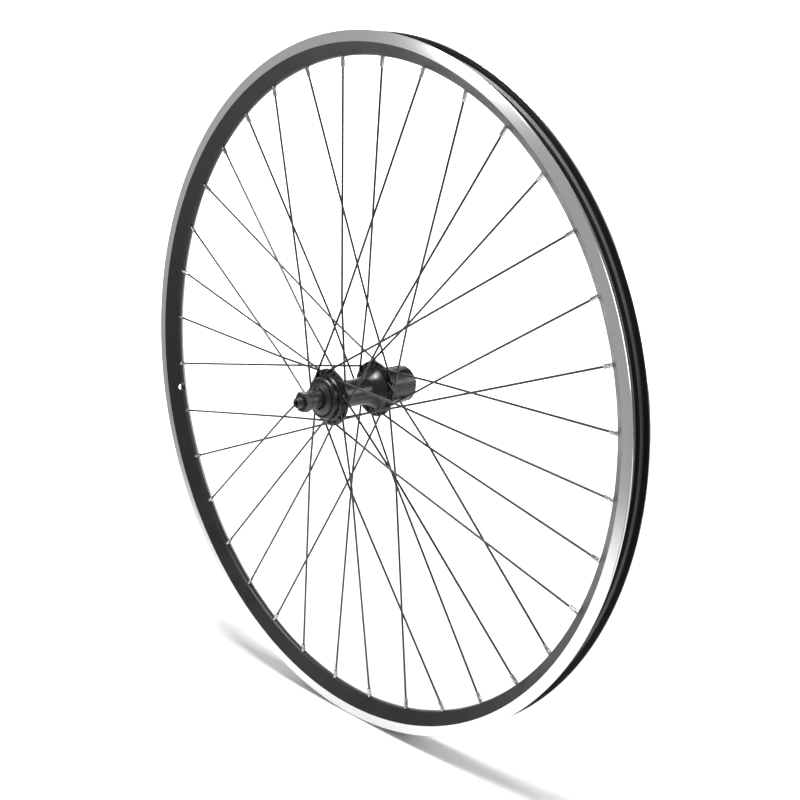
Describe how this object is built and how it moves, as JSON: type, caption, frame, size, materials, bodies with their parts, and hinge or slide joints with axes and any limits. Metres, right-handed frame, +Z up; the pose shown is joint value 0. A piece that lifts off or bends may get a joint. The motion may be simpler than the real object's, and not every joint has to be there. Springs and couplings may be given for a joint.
{
  "type": "rear bicycle wheel",
  "caption": "Spoked rear wheel with double-wall rim, machined brake tracks, three-cross lacing, flanged hub, hollow axle and splined freehub.",
  "frame": {"origin": "wheel centre on the axle, midway between the two locknut faces", "axes": "+Y along the axle towards the freehub, +Z up, +X in the plane of the rim"},
  "size_m": [0.6339, 0.141, 0.634],
  "materials": {
    "rim_anodised": "black anodised, machined brake tracks",
    "hub_anodised": "satin black anodised",
    "cap_black": "black plated",
    "spoke_black": "black stainless",
    "nipple_plated": "nickel plated",
    "axle_black": "black oxide",
    "driver_dark": "dark phosphated",
    "steel_oiled": "ground, oiled",
    "steel_spring": "drawn wire",
    "steel_ball": "polished",
    "seal_rubber": "matte"
  },
  "bodies": {
    "axle": {"axle": "axle_black", "cone_left": "axle_black", "cone_right": "axle_black", "spacer_left": "axle_black", "lockwasher_left": "axle_black", "lockwasher_right": "axle_black", "locknut_left": "axle_black", "locknut_right": "axle_black"},
    "wheel": {"rim": "rim_anodised", "spokes_left_outer": "spoke_black", "spokes_left_inner": "spoke_black", "spokes_right_outer": "spoke_black", "spokes_right_inner": "spoke_black", "nipples_left": "nipple_plated", "nipples_right": "nipple_plated", "hub_shell": "hub_anodised", "cup_left": "steel_oiled", "dustcap_left": "cap_black", "freehub_core": "steel_oiled", "freehub_bolt": "steel_oiled", "freehub_cup": "steel_oiled", "seal_right": "seal_rubber", "freehub_seal": "seal_rubber", "pawl_spring": "steel_spring"},
    "driver": {"driver": "driver_dark"},
    "pawl_a": {"pawl_a": "steel_oiled"},
    "pawl_b": {"pawl_b": "steel_oiled"},
    "left_balls": {"balls_left": "steel_ball"},
    "right_balls": {"balls_right": "steel_ball"},
    "driver_inner_balls": {"balls_driver_inner": "steel_ball"},
    "driver_outer_balls": {"balls_driver_outer": "steel_ball"}
  },
  "joints": [
    {"name": "wheel_spin", "type": "hinge", "parent": "axle", "child": "wheel", "pos_m": [0, 0, 0], "axis": [0, 1, 0], "continuous": true},
    {"name": "driver_spin", "type": "hinge", "parent": "wheel", "child": "driver", "pos_m": [0, 0, 0], "axis": [0, 1, 0], "continuous": true},
    {"name": "left_balls_roll", "type": "hinge", "parent": "axle", "child": "left_balls", "pos_m": [0, 0, 0], "axis": [0, 1, 0], "continuous": true},
    {"name": "right_balls_roll", "type": "hinge", "parent": "axle", "child": "right_balls", "pos_m": [0, 0, 0], "axis": [0, 1, 0], "continuous": true},
    {"name": "driver_inner_balls_roll", "type": "hinge", "parent": "wheel", "child": "driver_inner_balls", "pos_m": [0, 0, 0], "axis": [0, 1, 0], "continuous": true},
    {"name": "driver_outer_balls_roll", "type": "hinge", "parent": "wheel", "child": "driver_outer_balls", "pos_m": [0, 0, 0], "axis": [0, 1, 0], "continuous": true},
    {"name": "pawl_a_rise", "type": "hinge", "parent": "wheel", "child": "pawl_a", "pos_m": [-0.003, 0.033, 0.0113], "axis": [0, -1, 0], "range_deg": [0, 9], "stiffness_Nm_per_rad": 0.005, "springref_deg": 17.19, "deforming": ["pawl_spring"]},
    {"name": "pawl_b_rise", "type": "hinge", "parent": "wheel", "child": "pawl_b", "pos_m": [0.003, 0.033, -0.0113], "axis": [0, -1, 0], "range_deg": [0, 9], "stiffness_Nm_per_rad": 0.005, "springref_deg": 17.19, "deforming": ["pawl_spring"]}
  ],
  "couplings": [
    {"joint": "left_balls_roll", "follows": "wheel_spin", "ratio": 0.6145},
    {"joint": "right_balls_roll", "follows": "wheel_spin", "ratio": 0.6145},
    {"joint": "driver_inner_balls_roll", "follows": "driver_spin", "ratio": 0.5601},
    {"joint": "driver_outer_balls_roll", "follows": "driver_spin", "ratio": 0.5601}
  ]
}
